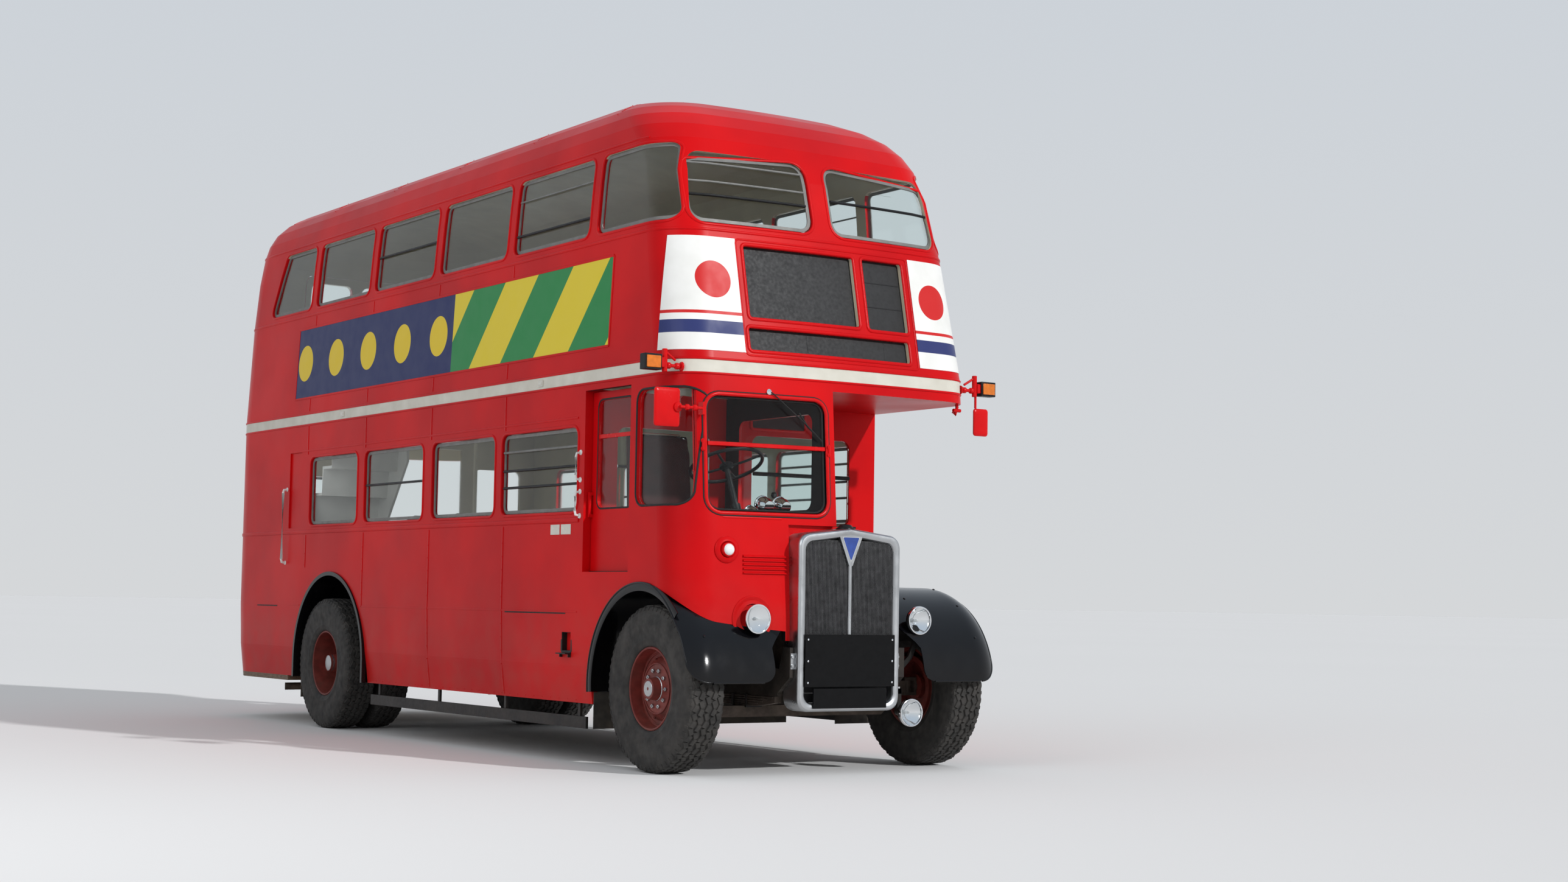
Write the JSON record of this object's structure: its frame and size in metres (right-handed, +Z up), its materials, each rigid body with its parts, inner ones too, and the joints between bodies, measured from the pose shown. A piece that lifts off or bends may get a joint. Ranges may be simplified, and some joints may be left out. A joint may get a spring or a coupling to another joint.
{
  "type": "half-cab double deck bus",
  "caption": "Front-engined half-cab double deck bus with an open rear platform, sliding cab door, hinged bonnet, steered front wheels and twin rear wheels.",
  "frame": {"origin": "on the ground under the middle of the bus's outline", "axes": "+Y towards the rear platform, +X towards the kerb side, +Z up"},
  "size_m": [2.68, 7.86, 4.356],
  "materials": {
    "red_paint": "gloss",
    "black_paint": "gloss",
    "chassis_paint": "satin",
    "wheel_paint": "satin",
    "polished_metal": "satin",
    "cast_metal": "rough",
    "tyre_rubber": "matte",
    "flap_rubber": "matte",
    "window_glass": "clear",
    "lamp_chrome": "polished",
    "amber_lens": "gloss",
    "seat_cloth": "matte",
    "floor_boards": "satin",
    "cream_paint": "gloss",
    "blind_black": "matte"
  },
  "bodies": {
    "body": {"blind_boxes": "blind_black", "cab_floor": "floor_boards", "cab_shell": "red_paint", "chassis_frame": "chassis_paint", "engine": "cast_metal", "engine_bearers": "chassis_paint", "engine_side_panel": "chassis_paint", "exhaust": "cast_metal", "front_axle_beam": "cast_metal", "front_boards": "black_paint", "front_bulkhead": "red_paint", "front_wings": "black_paint", "fuel_tank": "chassis_paint", "gearbox_and_shaft": "cast_metal", "glazing_lower": "window_glass", "glazing_upper": "window_glass", "guard_and_poles": "cream_paint", "indicators": "amber_lens", "lamps": "lamp_chrome", "leaf_springs": "cast_metal", "lifeguard_rails": "black_paint", "lower_floor": "floor_boards", "lower_wall_nearside": "red_paint", "lower_wall_offside": "red_paint", "mirrors": "red_paint", "mudflaps": "flap_rubber", "platform_floor": "floor_boards", "radiator_core": "blind_black", "radiator_shell": "polished_metal", "rear_axle": "cast_metal", "rear_bulkhead": "cream_paint", "rear_lower_panel": "red_paint", "roof_centre": "red_paint", "roof_front": "red_paint", "roof_rear": "red_paint", "seats": "seat_cloth", "staircase": "cream_paint", "steering_wheel": "blind_black", "upper_floor": "floor_boards", "upper_front": "red_paint", "upper_rear": "red_paint", "upper_wall_nearside": "red_paint", "upper_wall_offside": "red_paint", "wheel_boxes": "black_paint"},
    "knuckle_offside": {"knuckle_offside": "cast_metal"},
    "knuckle_nearside": {"knuckle_nearside": "cast_metal"},
    "front_wheel_offside": {"wheel_front_offside": "wheel_paint", "tyre_front_offside": "tyre_rubber"},
    "front_wheel_nearside": {"wheel_front_nearside": "wheel_paint", "tyre_front_nearside": "tyre_rubber"},
    "rear_wheels_offside": {"wheel_rear_offside": "wheel_paint", "tyres_rear_offside": "tyre_rubber"},
    "rear_wheels_nearside": {"wheel_rear_nearside": "wheel_paint", "tyres_rear_nearside": "tyre_rubber"},
    "cab_door": {"cab_door": "red_paint", "cab_door_glass": "window_glass"},
    "bonnet": {"bonnet": "red_paint"},
    "emergency_door": {"emergency_door": "red_paint", "emergency_door_glass": "window_glass"}
  },
  "joints": [
    {"name": "steer_offside", "type": "hinge", "parent": "body", "child": "knuckle_offside", "pos_m": [-0.85, -3.33, 0.508], "axis": [0, 0, 1], "range_deg": [-30, 30]},
    {"name": "steer_nearside", "type": "hinge", "parent": "body", "child": "knuckle_nearside", "pos_m": [0.85, -3.33, 0.508], "axis": [0, 0, 1], "range_deg": [-30, 30]},
    {"name": "spin_front_offside", "type": "hinge", "parent": "knuckle_offside", "child": "front_wheel_offside", "pos_m": [-0.9775, -3.33, 0.508], "axis": [1, 0, 0], "continuous": true},
    {"name": "spin_front_nearside", "type": "hinge", "parent": "knuckle_nearside", "child": "front_wheel_nearside", "pos_m": [0.9775, -3.33, 0.508], "axis": [1, 0, 0], "continuous": true},
    {"name": "spin_rear_offside", "type": "hinge", "parent": "body", "child": "rear_wheels_offside", "pos_m": [-0.857, 1.648, 0.508], "axis": [1, 0, 0], "continuous": true},
    {"name": "spin_rear_nearside", "type": "hinge", "parent": "body", "child": "rear_wheels_nearside", "pos_m": [0.857, 1.648, 0.508], "axis": [1, 0, 0], "continuous": true},
    {"name": "cab_door_slide", "type": "slide", "parent": "body", "child": "cab_door", "axis": [0, -1, 0], "range_m": [0, 0.35]},
    {"name": "bonnet_hinge", "type": "hinge", "parent": "body", "child": "bonnet", "pos_m": [-0.034, -3.159, 1.484], "axis": [0, -1, 0], "range_deg": [0, 75]},
    {"name": "emergency_door_hinge", "type": "hinge", "parent": "body", "child": "emergency_door", "pos_m": [-0.504, 3.884, 3.565], "axis": [0, 0, 1], "range_deg": [0, 100]}
  ],
  "couplings": [
    {"joint": "steer_nearside", "follows": "steer_offside", "ratio": 1}
  ]
}
